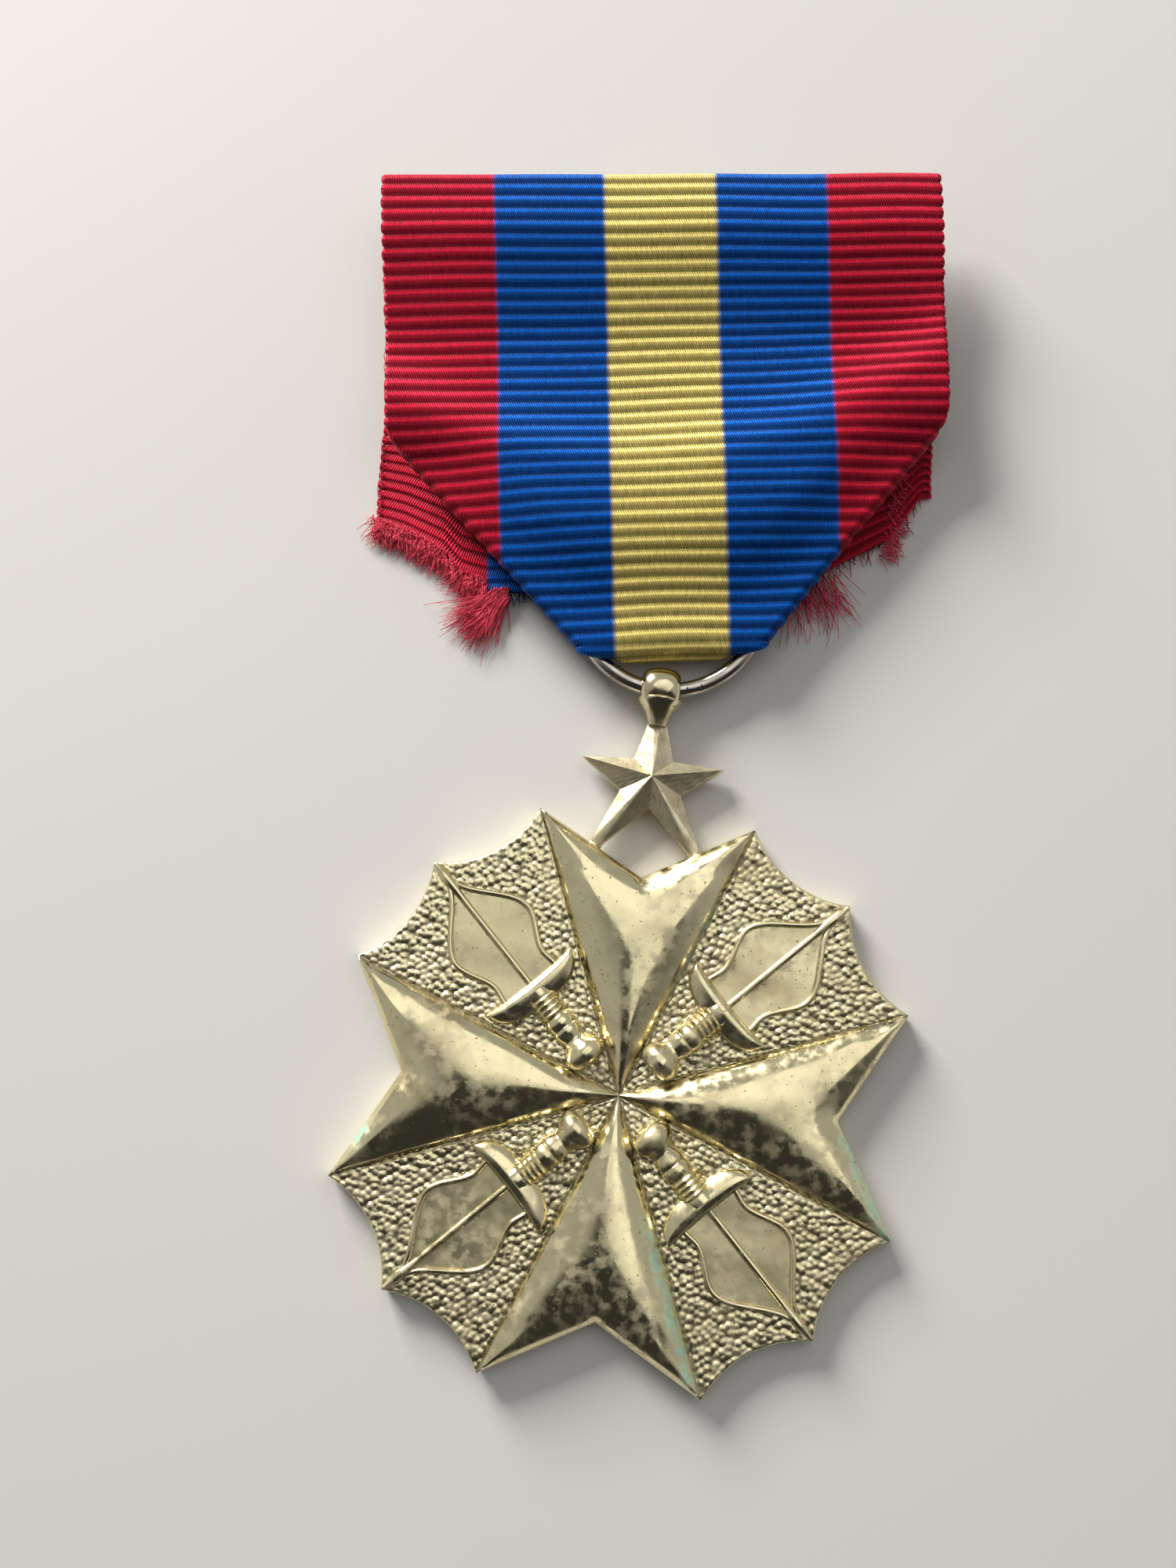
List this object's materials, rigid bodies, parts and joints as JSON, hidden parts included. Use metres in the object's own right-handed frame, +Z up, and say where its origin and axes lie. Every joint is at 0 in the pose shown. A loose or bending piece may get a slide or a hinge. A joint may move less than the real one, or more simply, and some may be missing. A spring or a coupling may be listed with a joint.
{
  "type": "medal",
  "caption": "Military service medal: gilt cross with swords in its angles, hung from a star and a ring on a striped folded ribbon with a pin brooch.",
  "frame": {"origin": "middle of the footprint, on the surface that the medal lies on", "axes": "+Z up out of the medal's face, +Y along the ribbon towards its top fold, +X to the right as seen from the front"},
  "size_m": [0.0422, 0.0816, 0.0048],
  "materials": {
    "ribbon_silk": "ribbed grosgrain in five equal stripes: red, dark blue, yellow, dark blue, red",
    "sewing_thread": "matt twisted thread",
    "brooch_brass": "satin, lightly tarnished",
    "pin_steel": "plated wire, satin",
    "ring_metal": "polished wire, pale silver-gold",
    "gilt_polished": "polished pale gilt with tarnish and a little verdigris",
    "gilt_cast": "satin cast gilt with dark specks"
  },
  "bodies": {
    "mount": {"ribbon": "ribbon_silk", "top_bar": "brooch_brass", "brooch_plate": "brooch_brass", "hinge_bracket": "brooch_brass", "hinge_rivet": "pin_steel", "clip_catch": "brooch_brass", "plate_stitches": "sewing_thread", "corner_tacks": "sewing_thread"},
    "pin": {"brooch_pin": "pin_steel"},
    "ring": {"suspension_ring": "ring_metal"},
    "pendant": {"ball_eyelet": "gilt_polished", "star_suspender": "gilt_cast", "cross_badge": "gilt_polished"}
  },
  "joints": [
    {"name": "pin_swing", "type": "hinge", "parent": "mount", "child": "pin", "pos_m": [0.01565, 0.03587, 0.00094], "axis": [0, -1, 0], "range_deg": [0, 110]},
    {"name": "ring_turn", "type": "hinge", "parent": "mount", "child": "ring", "pos_m": [0.00215, 0.01122, 0.0015], "axis": [0, 0, 1], "range_deg": [-5, 20]},
    {"name": "pendant_swing", "type": "hinge", "parent": "ring", "child": "pendant", "pos_m": [0.00134, 0.00497, 0.0015], "axis": [0.9917, -0.1288, 0], "range_deg": [-80, 80]}
  ]
}
